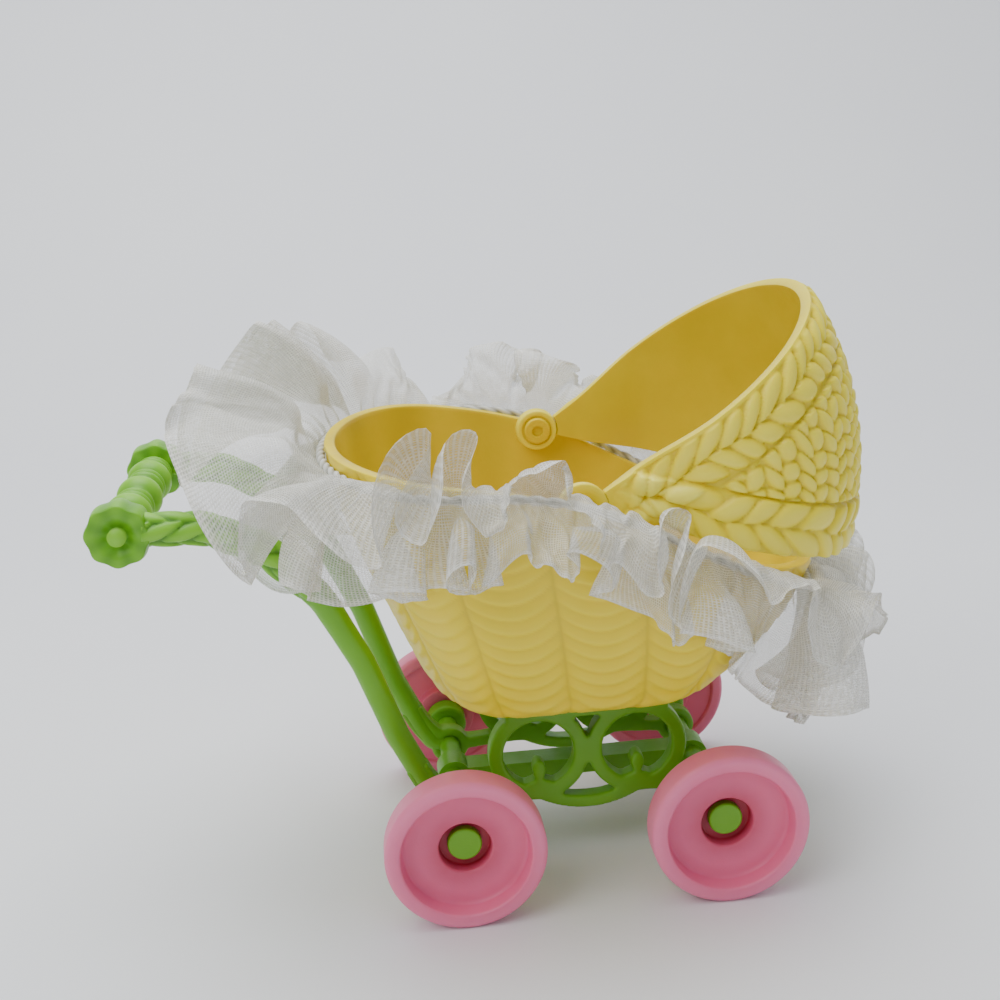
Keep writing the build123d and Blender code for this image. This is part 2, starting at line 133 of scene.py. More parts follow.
def finished(name, bm, material):
    """Turns a bmesh into a smooth-shaded object with one material."""
    mesh = bpy.data.meshes.new(name)
    bm.to_mesh(mesh)
    bm.free()
    for face in mesh.polygons:
        face.use_smooth = True
    piece = bpy.data.objects.new(name, mesh)
    scene.collection.objects.link(piece)
    mesh.materials.append(material)
    return piece


# %% The sweep
SWEEP_SIDE = 1.6           # half of its width, in metres
SWEEP_FRONT = -1.2         # where the floor starts, in front of the toy
SWEEP_BEND = 0.16          # where the floor starts to curve up
SWEEP_RADIUS = 0.35


def paper_material():
    """Pale matt paper with very faint clouds and grain."""
    material, tree, shader = new_material("pale_paper")
    place = node(tree, "TexCoord").outputs["Object"]
    clouds = node(tree, "TexNoise", {"Vector": place, "Scale": 6.0, "Detail": 3.0})
    shade = ramp(tree, clouds.outputs["Fac"], [(0.3, rgb(234, 235, 239)), (0.7, rgb(239, 240, 242))])
    tree.links.new(shade, shader.inputs["Base Color"])
    specks = node(tree, "TexNoise", {"Vector": place, "Scale": 900.0, "Detail": 2.0})
    bump = node(tree, "Bump", {"Height": specks.outputs["Fac"], "Strength": 0.05, "Distance": 0.0004})
    tree.links.new(bump.outputs["Normal"], shader.inputs["Normal"])
    shader.inputs["Roughness"].default_value = 0.55
    return material


def make_backdrop():
    bm = bmesh.new()
    near = bm.verts.new((-SWEEP_SIDE, SWEEP_FRONT, 0))
    bend_start = bm.verts.new((-SWEEP_SIDE, SWEEP_BEND, 0))
    bm.edges.new((near, bend_start))
    bend = bmesh.ops.spin(bm, geom=[bend_start], cent=(-SWEEP_SIDE, SWEEP_BEND, SWEEP_RADIUS),
                          axis=(1, 0, 0), angle=radians(80), steps=24)
    top = bend["geom_last"][0]
    wall_top = bmesh.ops.extrude_vert_indiv(bm, verts=[top])["verts"][0]
    wall_top.co += Vector((0, 0.25, 1.4))
    side = bmesh.ops.extrude_edge_only(bm, edges=list(bm.edges))
    moved = [part for part in side["geom"] if isinstance(part, bmesh.types.BMVert)]
    bmesh.ops.translate(bm, verts=moved, vec=(2 * SWEEP_SIDE, 0, 0))
    bmesh.ops.recalc_face_normals(bm, faces=bm.faces)
    backdrop = finished("backdrop", bm, paper_material())
    return backdrop


backdrop = make_backdrop()
print("backdrop faces", len(backdrop.data.polygons))


# %% Lamps
def add_lamp(name, place, size, power, shade):
    """A round lamp turned towards the middle of the toy: size in metres, power in watts."""
    light = bpy.data.lights.new(name, "AREA")
    light.shape = "DISK"
    light.size = size
    light.energy = power
    light.color = shade
    lamp = bpy.data.objects.new(name, light)
    lamp.location = place
    lamp.rotation_euler = (MIDDLE - Vector(place)).to_track_quat("-Z", "Y").to_euler()
    scene.collection.objects.link(lamp)


MIDDLE = Vector((0.0, 0.0, 0.05))
add_lamp("window", (-0.40, -0.34, 0.58), 0.5, 2.0, (1.0, 0.985, 0.96))
add_lamp("ceiling", (-0.05, 0.12, 0.9), 0.8, 8.4, (0.97, 0.985, 1.0))
room = bpy.data.worlds.new("room")
room.use_nodes = True
room_shader = room.node_tree.nodes["Background"]
room_shader.inputs["Color"].default_value = (0.80, 0.83, 0.87, 1.0)
room_shader.inputs["Strength"].default_value = 0.50
scene.world = room


# %% [markdown]
# ## Moulded plastics
# The toy is soft polythene: coloured right through, a little milky, with a satin skin that
# shows a fine grain and faint flow clouds. One maker mixes three shades by an attribute
# called relief that each mesh carries: a painted shade in hollows, the plastic's own colour
# between, and a painted light on ridges. Light that goes into the plastic and comes out
# again is what makes it look like a toy and not like paint.

# %% Plastic maker
ROUGHNESS = 0.42
GLOW_REACH = 0.0016        # how deep light goes into the plastic, in metres


def plastic(name, hollow_shade, body, ridge_light, relief=True, glow=0.25):
    """Milky moulded plastic: a painted shade for hollows, its own colour, a painted light for ridges."""
    material, tree, shader = new_material(name)
    place = node(tree, "TexCoord").outputs["Object"]
    clouds = node(tree, "TexNoise", {"Vector": place, "Scale": 55.0, "Detail": 4.0, "Roughness": 0.6})
    flow = sums(tree, "MULTIPLY", sums(tree, "SUBTRACT", clouds.outputs["Fac"], 0.5), 0.35)
    if relief:
        height = node(tree, "Attribute", attribute_name="relief").outputs["Fac"]
    else:
        height = 0.5
    level = sums(tree, "ADD", height, flow, clamp=True)
    # relief picks the painted shade in hollows, the own colour between and the painted light on ridges
    shade = ramp(tree, level, [(0.0, hollow_shade), (0.5, body), (1.0, ridge_light)])
    tree.links.new(shade, shader.inputs["Base Color"])
    grain = node(tree, "TexNoise", {"Vector": place, "Scale": 2600.0, "Detail": 2.0})
    scuffs = node(tree, "TexNoise", {"Vector": place, "Scale": 240.0, "Detail": 6.0, "Roughness": 0.7})
    skin = sums(tree, "ADD", grain.outputs["Fac"], sums(tree, "MULTIPLY", scuffs.outputs["Fac"], 1.5))
    bump = node(tree, "Bump", {"Height": skin, "Strength": 0.22, "Distance": 0.00012})
    tree.links.new(bump.outputs["Normal"], shader.inputs["Normal"])
    dull = node(tree, "MapRange", {"Value": scuffs.outputs["Fac"], "From Min": 0.3, "From Max": 0.7,
                                   "To Min": ROUGHNESS - 0.08, "To Max": ROUGHNESS + 0.12})
    tree.links.new(dull.outputs["Result"], shader.inputs["Roughness"])
    shader.inputs["Subsurface Weight"].default_value = glow
    shader.inputs["Subsurface Radius"].default_value = (1.0, 0.7, 0.35)
    shader.inputs["Subsurface Scale"].default_value = GLOW_REACH
    shader.inputs["IOR"].default_value = 1.5
    return material


# %% The toy's plastics
# each plastic's first colour is a painted shade for hollows, its middle its own colour, its last a
# painted light for ridges
yellow = plastic("yellow_plastic", rgb(206, 180, 0), rgb(240, 214, 10), rgb(250, 232, 60))
pale_yellow = plastic("pale_yellow_plastic", rgb(208, 184, 0), rgb(242, 222, 26), rgb(252, 240, 92))
green = plastic("green_plastic", rgb(68, 126, 6), rgb(108, 176, 18), rgb(140, 206, 44), glow=0.2)
pink = plastic("pink_plastic", rgb(178, 28, 52), rgb(234, 112, 150), rgb(250, 146, 182), glow=0.3)
plain_green = plastic("plain_green_plastic", rgb(66, 122, 4), rgb(104, 170, 14), rgb(138, 202, 40),
                      relief=False, glow=0.2)
plain_yellow = plastic("plain_yellow_plastic", rgb(206, 180, 0), rgb(230, 202, 6),
                       rgb(246, 226, 50), relief=False)
print("plastics", [m.name for m in bpy.data.materials if m.name.endswith("plastic")])


# %% [markdown]
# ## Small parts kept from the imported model
# The axles, their caps, the studs, ties, rivets and the stretcher are plain moulded or
# turned shapes whose form is already right. They only need their plastic.

# %% Plastic on the kept parts
KEPT_GREEN = ["rear_axle", "front_axle", "centre_stretcher", "rear_basket_tie", "front_basket_tie",
              "rear_basket_rivet", "front_basket_rivet"]
for end in ("rear", "front"):
    for side in ("left", "right"):
        KEPT_GREEN.append(f"{end}_{side}_axle_cap")
KEPT_YELLOW = ["hood_pivot_left", "hood_pivot_right"]
for names, finish in ((KEPT_GREEN, plain_green), (KEPT_YELLOW, plain_yellow)):
    for name in names:
        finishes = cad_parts[name].data.materials
        finishes.clear()
        finishes.append(finish)
print("kept", len(KEPT_GREEN) + len(KEPT_YELLOW), "packed parts")


# %% [markdown]
# ## Wheels
# Each wheel is a deep dish with a rolled tyre edge and a pocket at the hub. It is round, so
# half of its section is drawn as a line of points, the corners are bevelled into arcs, and
# a full spin makes the wheel. The relief attribute makes the tyre paler as painted light
# and the hub pocket darker as painted shade.

# %% Turned shapes
def turned(name, outline, centre, side, material, steps=96):
    """Spins a closed outline of (radius, y, corner round, relief), in mm, round the Y axis."""
    bm = bmesh.new()
    level = bm.verts.layers.float.new("relief")
    verts = []
    for radius, y, _, relief in outline:
        vert = bm.verts.new((radius * MM, y * MM, 0))
        vert[level] = relief
        verts.append(vert)
    for first, second in zip(verts, verts[1:] + verts[:1]):
        bm.edges.new((first, second))
    for vert, (_, _, corner, _) in zip(verts, outline):
        if corner:
            bmesh.ops.bevel(bm, geom=[vert], offset=corner * MM, offset_type="OFFSET", segments=5,
                            profile=0.5, material=-1, affect="VERTICES")
    bmesh.ops.spin(bm, geom=bm.verts[:] + bm.edges[:], cent=(0, 0, 0), axis=(0, 1, 0),
                   angle=2 * pi, steps=steps, use_merge=True)
    bmesh.ops.remove_doubles(bm, verts=bm.verts, dist=1e-6)
    if side < 0:
        bmesh.ops.scale(bm, verts=bm.verts, vec=(1, -1, 1))
    bmesh.ops.translate(bm, verts=bm.verts, vec=centre)
    bmesh.ops.recalc_face_normals(bm, faces=bm.faces)
    return finished(name, bm, material)


# %% Wheel
BORE = 2.05                # radii, in mm
POCKET = 4.6
HUB = 5.9
DISH = 10.9
TYRE_INSIDE = 11.6
TYRE = 14.0
HUB_BACK = 24.05           # places along the axle, in mm
TYRE_BACK = 25.65
WEB_BACK = 26.65
POCKET_FLOOR = 25.45
DISH_FLOOR = 28.05
TYRE_FRONT = 31.25


def wheel_outline():
    """Half of a wheel's section: the dish opens towards +Y."""
    # the last number of each point is relief: painted light on the tyre, painted shade in the hub pocket
    return [
        (BORE, HUB_BACK, 0, 0.45),
        (BORE, POCKET_FLOOR, 0.2, 0.1),
        (POCKET, POCKET_FLOOR, 0.4, 0.0),
        (POCKET, DISH_FLOOR, 0.45, 0.25),
        (8.4, DISH_FLOOR, 0, 0.5),
        (DISH, DISH_FLOOR, 0.7, 0.5),
        (DISH + 0.4, TYRE_FRONT, 0.4, 0.6),
        (TYRE, TYRE_FRONT, 1.05, 0.75),
        (TYRE, TYRE_BACK, 0.9, 0.6),
        (TYRE_INSIDE, TYRE_BACK, 0.4, 0.6),
        (TYRE_INSIDE, WEB_BACK, 0.3, 0.5),
        (HUB, WEB_BACK, 0.3, 0.4),
        (HUB, HUB_BACK, 0.2, 0.4),
    ]


# %% Four wheels
for end in ("rear", "front"):
    for side, sign in (("left", 1), ("right", -1)):
        low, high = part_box(f"{end}_{side}_wheel")
        centre = ((low[0] + high[0]) / 2, 0, (low[2] + high[2]) / 2)
        wheel = turned(f"{end}_{side}_dish_wheel", wheel_outline(), centre, sign, pink)
        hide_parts(f"{end}_{side}_wheel")
        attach(wheel, f"{end}_{side}_wheel_body")
        print(wheel.name, "faces", len(wheel.data.polygons))


# %% [markdown]
# ## Chassis sides
# Each side of the chassis is one moulding: a rail with two rings and a small bud in each.
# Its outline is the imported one, but a moulding has no sharp edge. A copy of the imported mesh
# is filled with small cubes, skinned again by the Remesh modifier and smoothed, which
# rounds every edge and every inside corner by the same amount.

# %% Rounded copies of the chassis sides
GRID = 0.3 * MM
SMOOTHING = 9


def rounded_copy(name, cad_name, material):
    """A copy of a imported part, skinned with a fine even mesh and smoothed."""
    bm = bmesh.new()
    bm.from_mesh(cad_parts[cad_name].data)
    bmesh.ops.remove_doubles(bm, verts=bm.verts, dist=1e-7)
    rough = finished("rough", bm, material)
    remesh = rough.modifiers.new("skin", "REMESH")
    remesh.mode = "VOXEL"
    remesh.voxel_size = GRID
    smooth = rough.modifiers.new("round", "SMOOTH")
    smooth.factor = 0.5
    smooth.iterations = SMOOTHING
    shape = rough.evaluated_get(bpy.context.evaluated_depsgraph_get())
    bm = bmesh.new()
    bm.from_mesh(shape.to_mesh())
    bpy.data.objects.remove(rough)
    return finished(name, bm, material)


for side in ("left", "right"):
    chassis_side = rounded_copy(f"scroll_frame_{side}", f"side_frame_{side}", plain_green)
    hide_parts(f"side_frame_{side}")
    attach(chassis_side, "chassis")
    print(chassis_side.name, "faces", len(chassis_side.data.polygons))


# %% [markdown]
# ## Laying a grid over a shape
# The basket, the hood, the plaited arms, the cord and the net are all one idea: a flat grid
# laid over a curved shape, with its height varied by a pattern. Blender makes the grid, and
# a short rule says where each of its points goes. The rule works on all points at once.

# %% Grid helpers
def laid_grid(bm, across, along, place, closed=False):
    """Adds a grid to bm; place(u, v) gives points and relief for arrays u and v, 0 to 1."""
    level = bm.verts.layers.float.get("relief") or bm.verts.layers.float.new("relief")
    made = bmesh.ops.create_grid(bm, x_segments=across, y_segments=along, size=0.5)["verts"]
    u = np.array([vert.co.x for vert in made]) + 0.5
    v = np.array([vert.co.y for vert in made]) + 0.5
    points, relief = place(u, v)
    for vert, point, height in zip(made, points, relief):
        vert.co = point
        vert[level] = height
    if closed:
        bmesh.ops.remove_doubles(bm, verts=made, dist=2e-6)


def eased(xs, ys, at):
    """A smooth line through points, read at an array of places."""
    xs = np.array(xs, float)
    ys = np.array(ys, float)
    at = np.clip(at, xs[0], xs[-1])
    slopes = np.gradient(ys, xs)
    span = np.clip(np.searchsorted(xs, at) - 1, 0, len(xs) - 2)
    width = xs[span + 1] - xs[span]
    t = (at - xs[span]) / width
    start = (2 * t**3 - 3 * t**2 + 1) * ys[span] + (t**3 - 2 * t**2 + t) * width * slopes[span]
    finish = (3 * t**2 - 2 * t**3) * ys[span + 1] + (t**3 - t**2) * width * slopes[span + 1]
    return start + finish


def step_up(low, high, at):
    """0 below low, 1 above high, smooth between."""
    t = np.clip((at - low) / (high - low), 0, 1)
    return t * t * (3 - 2 * t)


def mix(low, high, share):
    """A value part of the way from low to high."""
    return low + (high - low) * share


# %% [markdown]
# ## Basket
# The basket is one thin moulding made to look woven: tall bulging ribs, each filled with
# courses that droop between its edges like hanging rope. The plan is an oval that grows
# from the base to the rim, so the outside is a grid wound round that oval with the courses
# added along the surface. The inside of the real one is smooth, so it is a second, plain
# grid, and the two are bridged at the rim.

# %% Plan of the basket
STRAIGHT_REAR = -8.0       # the sides are straight between these, in mm
STRAIGHT_FRONT = 14.0


def middles(rear, front):
    """Where the rounded ends of an oval have their middles."""
    return np.minimum(STRAIGHT_REAR, rear / 2), np.minimum(STRAIGHT_FRONT, front / 2)


def oval(turn_at, rear, front, width):
    """Points of an oval for turn 0 to 4: left side, head end, right side, foot end."""
    rear_middle, front_middle = middles(rear, front)
    part = np.clip(np.floor(turn_at), 0, 3)
    share = turn_at - part
    angle = np.where(part == 1, 90 - 180 * share, 270 - 180 * share) * pi / 180
    sides = [part == 0, part == 1, part == 2, part == 3]
    x = np.select(sides, [mix(rear_middle, front_middle, share),
                          front_middle + (front - front_middle) * np.cos(angle),
                          mix(front_middle, rear_middle, share),
                          rear_middle + (rear_middle - rear) * np.cos(angle)])
    y = np.select(sides, [width + 0 * x, width * np.sin(angle), -width + 0 * x, width * np.sin(angle)])
    return x, y


def even_turns(rear, front, width):
    """A table that spaces points evenly round an oval: shares of its length, and turns."""
    turns = np.linspace(0, 4, 2001)
    x, y = oval(turns, rear, front, width)
    length = np.concatenate([[0], np.cumsum(np.hypot(np.diff(x), np.diff(y)))])
    return length / length[-1], turns


# %% Walls of the basket
BASE_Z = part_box("basket")[0][2] / MM
TOP_Z = 83.0
WALL = 1.8
BASE_REAR, RIM_REAR = -18.5, -42.7
BASE_FRONT, RIM_FRONT = 15.0, 50.0
BASE_SIDE, RIM_SIDE = 15.5, 32.8
PLAN_HEIGHT = (0.00, 0.03, 0.11, 0.24, 0.40, 0.58, 0.78, 1.00)
PLAN_BACK = (0.00, 0.20, 0.36, 0.49, 0.63, 0.79, 0.92, 1.00)
PLAN_AHEAD = (0.00, 0.19, 0.43, 0.66, 0.81, 0.92, 0.97, 1.00)
PLAN_OUT = (0.00, 0.24, 0.44, 0.63, 0.78, 0.88, 0.96, 1.00)
RIM_X = (-60, -30, -1, 23, 70)
RIM_Z = (80.8, 80.2, 74.3, 62.8, 49.0)
RIM_SHARES, RIM_TURNS = even_turns(RIM_REAR, RIM_FRONT, RIM_SIDE)


def basket_spans(height, inset):
    """How far the basket goes back, ahead and sideways; height is 0 at the base, 1 at the top."""
    rear = mix(BASE_REAR, RIM_REAR, eased(PLAN_HEIGHT, PLAN_BACK, height)) + inset
    front = mix(BASE_FRONT, RIM_FRONT, eased(PLAN_HEIGHT, PLAN_AHEAD, height)) - inset
    width = mix(BASE_SIDE, RIM_SIDE, eased(PLAN_HEIGHT, PLAN_OUT, height)) - inset
    return rear, front, width


def basket_point(turn_at, height, inset, base_z):
    """A point of the basket's surface."""
    x, y = oval(turn_at, *basket_spans(height, inset))
    return x, y, mix(base_z, TOP_Z, height)


def rim_height(x):
    """The rim's height at x, in mm."""
    return eased(RIM_X, RIM_Z, x)


def wall_point(turn_at, share, inset, base_z):
    """share 0 is the base and 1 the rim, which falls towards the head end."""
    top = np.full_like(turn_at, 0.8)
    for _ in range(8):
        x, y, z = basket_point(turn_at, top, inset, base_z)
        top = (rim_height(x) - base_z) / (TOP_Z - base_z)
    return basket_point(turn_at, top * share, inset, base_z)


# %% Basket relief
RIBS = 16
COURSE = 2.9               # height of a course, in mm
DROOP = 3.6                # how far a course hangs in the middle of its rib
RIB_HEIGHT = 0.32
COURSE_HEIGHT = 0.44
SUNK = 0.3                 # the pattern's hollows lie this far inside the wall's line


def ribs_and_courses(around, z, depth):
    """Height of the woven pattern, in mm, and its relief from 0 to 1."""
    rib = around * RIBS
    across = 2 * (rib % 1) - 1
    bulge = np.sqrt(np.clip(1 - across**4, 0, 1))
    uneven = 0.13 * np.sin(2.4 * np.floor(rib))
    course = ((z - DROOP * across**2) / COURSE + uneven) % 1
    lip = (1 - course) * step_up(0.0, 0.16, course)
    height = RIB_HEIGHT * bulge + COURSE_HEIGHT * lip * bulge**2
    # relief paints light onto the course lips and rib crowns and shade into the grooves between them
    relief = 0.24 + 0.16 * bulge + 0.42 * lip * bulge
    return (height - SUNK) * depth, mix(0.5, relief, depth)


# %% Basket surfaces
FLOOR_SHARE = 0.12         # part of the grid that makes the floor
FLOOR_MIDDLE = -1.0


def floor_and_wall(v):
    """Shares of the way across the floor and then up the wall."""
    return np.clip(v / FLOOR_SHARE, 0, 1), np.clip((v - FLOOR_SHARE) / (1 - FLOOR_SHARE), 0, 1)


def outwards(turn_at):
    """The x and y of a level line that points out of the basket's wall."""
    ahead = oval(turn_at + 0.002, -30.0, 36.0, 32.0)
    behind = oval(turn_at - 0.002, -30.0, 36.0, 32.0)
    along = np.stack([ahead[0] - behind[0], ahead[1] - behind[1]])
    along /= np.hypot(*along)
    return -along[1], along[0]


def basket_outside(u, v):
    turn_at = np.interp(u, RIM_SHARES, RIM_TURNS)
    floor, wall = floor_and_wall(v)
    wall = wall**0.93
    x, y, z = wall_point(turn_at, wall, 0.0, BASE_Z)
    depth = step_up(0.0, 0.02, wall) * step_up(1.0, 0.975, wall)
    height, relief = ribs_and_courses(u, z, depth)
    out_x, out_y = outwards(turn_at)
    x = (x + out_x * height) * floor + (1 - floor) * FLOOR_MIDDLE
    y = (y + out_y * height) * floor
    return np.stack([x, y, z], 1) * MM, relief


def basket_inside(u, v):
    turn_at = np.interp(u, RIM_SHARES, RIM_TURNS)
    floor, wall = floor_and_wall(v)
    x, y, z = wall_point(turn_at, wall, WALL, BASE_Z + WALL)
    # painted shade: the inside is darker than the outside, with faint stripes at the ribs higher up
    ripple = 0.16 + 0.1 * np.cos(2 * pi * RIBS * u) * step_up(0.1, 0.5, wall)
    x = x * floor + (1 - floor) * FLOOR_MIDDLE
    return np.stack([x, y * floor, z], 1) * MM, ripple


# %% Two-walled shells
def shell(name, outside, inside, across, courses, closed, round_by, material):
    """Two grids, one inside the other, bridged and rounded along their open edges."""
    bm = bmesh.new()
    rims = []
    for place, along in ((outside, courses[0]), (inside, courses[1])):
        laid_grid(bm, across, along, place, closed)
        rims += [edge for edge in bm.edges if edge.is_boundary and edge not in rims]
    bmesh.ops.bridge_loops(bm, edges=rims)
    bmesh.ops.recalc_face_normals(bm, faces=bm.faces)
    bmesh.ops.bevel(bm, geom=rims, offset=round_by * MM, offset_type="OFFSET", segments=2,
                    profile=0.5, material=-1, affect="EDGES", clamp_overlap=True)
    return finished(name, bm, material)


# %% Basket mesh
def make_basket():
    return shell("wicker_basket", basket_outside, basket_inside, 448, (132, 60), True, 0.3, yellow)


basket = make_basket()
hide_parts("basket")
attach(basket, "chassis")
print("basket faces", len(basket.data.polygons), "size", [round(s / MM, 1) for s in basket.dimensions])


# %% [markdown]
# ## Hood
# The hood turns on two studs, so its shell is a shape swept round the line between them:
# its section runs from one ear up over the crown to the other. The outside carries a
# plaited border along the opening, a band of leaves along the lower edge and columns of
# small overlapping scales between them. The inside is smooth.

# %% Hood section
PIVOT = Vector((-1.0, 0.0, 73.5))
OPENING = radians(34.8)    # angles above the horizontal, seen from the studs
LOWER = radians(-16.3)
HOOD_WALL = 1.8
EAR = 4.2                  # distances from the line between the studs, in mm
SWELL = (9.0, 25.0)
CROWN = 53.4
EAR_SIDE = 29.0            # distances from the middle of the toy
HOOD_SIDE = 33.5


def hood_profile(inset):
    """A table of the hood's section: shares of its length, radius and y, ear to ear."""
    swell = np.linspace(*SWELL, 40)
    cheek = EAR_SIDE - inset + (HOOD_SIDE - EAR_SIDE) * step_up(*SWELL, swell)
    angle = np.linspace(pi / 2, -pi / 2, 201)[1:-1]
    arch = SWELL[1] + (CROWN - SWELL[1] - inset) * np.cos(angle)
    radius = np.concatenate([[EAR], swell, arch, swell[::-1], [EAR]])
    side = np.concatenate([[EAR_SIDE - inset], cheek, (HOOD_SIDE - inset) * np.sin(angle),
                           -cheek[::-1], [inset - EAR_SIDE]])
    length = np.concatenate([[0], np.cumsum(np.hypot(np.diff(radius), np.diff(side)))])
    return length, radius, side


HOOD_LENGTH = hood_profile(0.0)[0][-1]


def hood_point(share, angle, inset, lift=0.0):
    """A point of the hood for a share of its section and an angle above the horizontal."""
    length, radius, side = hood_profile(inset)
    at = share * length[-1]
    r = np.interp(at, length, radius)
    y = np.interp(at, length, side)
    out_r = np.interp(at - 0.05, length, side) - np.interp(at + 0.05, length, side)
    out_y = np.interp(at + 0.05, length, radius) - np.interp(at - 0.05, length, radius)
    size = np.hypot(out_r, out_y)
    r = r + lift * out_r / size
    y = y + lift * out_y / size
    return PIVOT.x + r * np.cos(angle), y, PIVOT.z + r * np.sin(angle), r


# %% Hood relief
BORDER_MIDDLE, BORDER_HALF, BORDER_PITCH, BORDER_HEIGHT = 4.9, 4.5, 4.2, 1.3
SKIRT_MIDDLE, SKIRT_HALF, SKIRT_PITCH, SKIRT_HEIGHT = 4.4, 4.6, 5.6, 1.1
SCALE_COLUMN, SCALE_PITCH, SCALE_HEIGHT = 6.4, 3.3, 1.25
SKIRT_LEDGE = 0.6          # the skirt stands out this much further than the scales
HOOD_SUNK = 0.3


def plait(across, along, pitch, lean):
    """Two rows of leaning leaves that meet in the middle: across is -1 to 1, along in mm."""
    row = np.where(across > 0, 0.5, 0.0)
    phase = (along / pitch + row + lean * np.abs(across)) % 1
    bud = 1 - ((np.abs(across) - 0.47) / 0.56) ** 2 - ((phase - 0.52) / 0.54) ** 2
    overlap = mix(0.2, 1.0, phase) * step_up(1.0, 0.86, phase) * step_up(1.04, 0.9, np.abs(across))
    return 0.72 * np.sqrt(np.clip(bud, 0, 1)) + 0.28 * overlap


def hood_relief(share, angle, r):
    """Height of the hood's pattern, in mm, and its relief from 0 to 1."""
    along = share * HOOD_LENGTH
    from_opening = (OPENING - angle) * r
    from_edge = (angle - LOWER) * r
    uneven = 0.7 * np.sin(along / 3.1) + 0.5 * np.sin(from_edge / 2.3 + along / 4.1)
    sway = 0.35 * np.sin(along / 3.7) + 0.25 * np.sin(along / 1.9)
    border = plait((from_opening - BORDER_MIDDLE + sway) / BORDER_HALF, along + uneven, BORDER_PITCH, 0.9)
    border = border * step_up(0.4, 0.8, from_opening) * step_up(9.7, 9.3, from_opening)
    in_skirt = step_up(9.0, 8.6, from_edge)
    skirt = plait((from_edge - SKIRT_MIDDLE + sway) / SKIRT_HALF, along + uneven, SKIRT_PITCH, 0.7)
    skirt = skirt * in_skirt
    column = along / SCALE_COLUMN
    up_column = from_edge + uneven + 1.7 * np.sin(np.floor(column) * 2.1)
    scales = plait(2 * (column % 1) - 1, up_column, SCALE_PITCH, -0.42)
    scales = scales * step_up(9.9, 10.2, from_opening) * step_up(9.0, 9.4, from_edge)
    roll = step_up(0.9, 0.4, from_opening)
    height = BORDER_HEIGHT * border + SKIRT_HEIGHT * skirt + SCALE_HEIGHT * scales
    height += 0.4 * roll + SKIRT_LEDGE * in_skirt - HOOD_SUNK
    # relief paints light on the raised leaves, scales and rolled edge and shade in the grooves between
    # them
    return height, np.clip(0.26 + 0.55 * (border + skirt + scales + 0.4 * roll), 0, 1)


# %% Hood mesh
def hood_outside(u, v):
    angle = mix(LOWER, OPENING, v)
    r = hood_point(u, angle, 0.0)[3]
    near_ear = step_up(EAR, 12.0, r)
    height, relief = hood_relief(u, angle, r)
    x, y, z, r = hood_point(u, angle, 0.0, height * near_ear)
    return np.stack([x, y, z], 1) * MM, mix(0.5, relief, near_ear)


def hood_inside(u, v):
    x, y, z, _ = hood_point(u, mix(LOWER, OPENING, v), HOOD_WALL)
    # the inside of the hood gets a painted shade, darker than its outside
    return np.stack([x, y, z], 1) * MM, 0.2 + 0 * u


def make_hood():
    return shell("hood_shell", hood_outside, hood_inside, 384, (112, 112), False, 0.25, pale_yellow)


hood = make_hood()
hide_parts("hood")
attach(hood, "hood_body")
print("hood faces", len(hood.data.polygons), "size", [round(s / MM, 1) for s in hood.dimensions])


# %% Hood ears
def ear_outline():
    """Half of an ear's section, in mm: a disc with a raised ring and a hollow middle."""
    bore, hollow, ring, hollow_face, ring_face = 1.55, 2.9, 4.0, 27.2, 26.9
    # the last number is relief: painted shade in the hollow middle, painted light on the raised ring
    return [
        (bore, hollow_face, 0, 0.4),
        (hollow, hollow_face, 0.15, 0.3),
        (hollow + 0.2, ring_face, 0.15, 0.6),
        (ring, ring_face, 0.35, 0.7),
        (EAR, EAR_SIDE, 0.3, 0.6),
        (bore, EAR_SIDE, 0, 0.4),
    ]


for side, sign in (("left", 1), ("right", -1)):
    ear = turned(f"hood_ear_{side}", ear_outline(), PIVOT * MM, sign, pale_yellow, steps=48)
    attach(ear, "hood_body")
    print(ear.name, "faces", len(ear.data.polygons))


# %% [markdown]
# ## Handle
# The arms are moulded to look plaited near the handle and run smooth below. Each follows
# bends that are rounded by a vertex bevel on a bare line, then a grid is wound round that
# line with three strands raised on it. The bar between them is turned, with beads and
# rings, and each arm ends in a scalloped flower with a hollow face and a rough nub.

# %% Arm line
HANDLE = Vector((-75.3, 0.0, 72.7))
HANDLE_SIDE = 20.7         # from the middle of the toy to the arm at the handle, in mm
ARM_FOOT = Vector((-30.25, 12.0, 22.2))
FOOT_SLOPE = radians(65.0)
BENDS = ((0.00, 1.00, 0), (0.26, 0.98, 9), (0.50, 0.86, 12), (0.71, 0.64, 14), (0.87, 0.34, 16),
         (1.00, 0.00, 10))
AXLE_BENDS = ((-28.4, 18.2, 4), (-26.2, 14.9, 2), (-23.05, 14.0, 0))


def points_in_order(bm):
    """The points of an open line of edges, from its rearmost end, and the lengths up to each."""
    vert = min((vert for vert in bm.verts if len(vert.link_edges) == 1), key=lambda vert: vert.co.x)
    edge = None
    points = [vert.co.copy()]
    while following := [other for other in vert.link_edges if other is not edge]:
        edge = following[0]
        vert = edge.other_vert(vert)
        points.append(vert.co.copy())
    points = np.array(points)
    return points, np.concatenate([[0], np.cumsum(np.linalg.norm(np.diff(points, axis=0), axis=1))])


